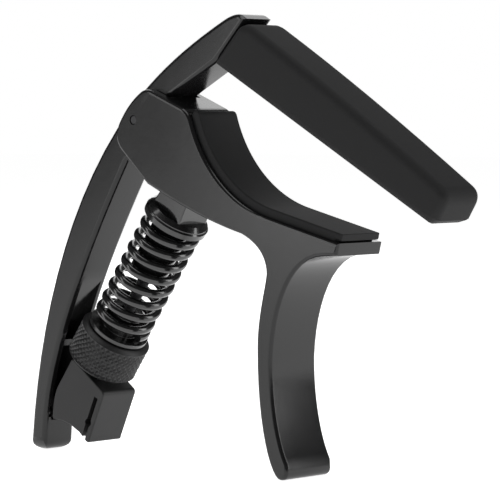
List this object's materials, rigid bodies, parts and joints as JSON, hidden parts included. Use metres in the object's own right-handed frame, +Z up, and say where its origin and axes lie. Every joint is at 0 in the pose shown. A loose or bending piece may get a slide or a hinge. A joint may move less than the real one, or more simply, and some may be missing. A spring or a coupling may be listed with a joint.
{
  "type": "guitar capo",
  "caption": "Squeeze-to-open guitar capo: padded string bar and handle on one lever, hinged neck cradle with finger trigger, sprung strut with knurled adjusting nut.",
  "frame": {"origin": "middle of the bottom of the box around the whole capo; the two handle tips stand on z = 0", "axes": "+X from the thumb handle towards the free end of the string bar, +Y along the pivot axis (across the capo), +Z up"},
  "size_m": [0.1044, 0.014, 0.0839],
  "materials": {
    "enamel": "satin",
    "rubber": "matte",
    "black_steel": "gloss",
    "knurl_black": "satin",
    "steel": "satin",
    "nylon": "matte"
  },
  "bodies": {
    "lever": {"lever_arm": "enamel", "string_pad": "rubber", "pivot_pin": "steel"},
    "trigger": {"trigger_cradle": "enamel", "neck_pad": "rubber", "pivot_washer_near": "nylon", "pivot_washer_far": "nylon"},
    "strut": {"pick_holder": "nylon", "foot_pin": "steel", "threaded_rod": "steel", "rod_lock_nut": "steel", "compression_spring": "black_steel"},
    "seat": {"spring_seat": "black_steel", "seat_pin": "steel"},
    "nut_carriage": {"thrust_washer": "black_steel"},
    "nut": {"adjuster_nut": "knurl_black"}
  },
  "joints": [
    {"name": "trigger_squeeze", "type": "hinge", "parent": "lever", "child": "trigger", "pos_m": [-0.02134, 0, 0.0646], "axis": [0, 1, 0], "range_deg": [0, 24], "stiffness_Nm_per_rad": 0.2, "springref_deg": -28.65, "deforming": ["compression_spring"]},
    {"name": "strut_rock", "type": "hinge", "parent": "lever", "child": "strut", "pos_m": [-0.04884, 0, 0.0076], "axis": [0, 1, 0], "range_deg": [-3.3, 0.1]},
    {"name": "seat_rock", "type": "hinge", "parent": "trigger", "child": "seat", "pos_m": [-0.01184, 0, 0.052], "axis": [0, 1, 0], "range_deg": [-27.3, 0.1]},
    {"name": "nut_travel", "type": "slide", "parent": "strut", "child": "nut_carriage", "axis": [0.5834, 0, 0.8122], "range_m": [0, 0.002], "deforming": ["compression_spring"]},
    {"name": "nut_spin", "type": "hinge", "parent": "nut_carriage", "child": "nut", "pos_m": [-0.01184, 0, 0.052], "axis": [0.5834, 0, 0.8122], "range_deg": [0, 1440.1]}
  ],
  "couplings": [
    {"joint": "strut_rock", "follows": "trigger_squeeze", "ratio": -0.132},
    {"joint": "seat_rock", "follows": "trigger_squeeze", "ratio": -1.132},
    {"joint": "nut_spin", "follows": "nut_travel", "rad_per_m": 12566}
  ]
}
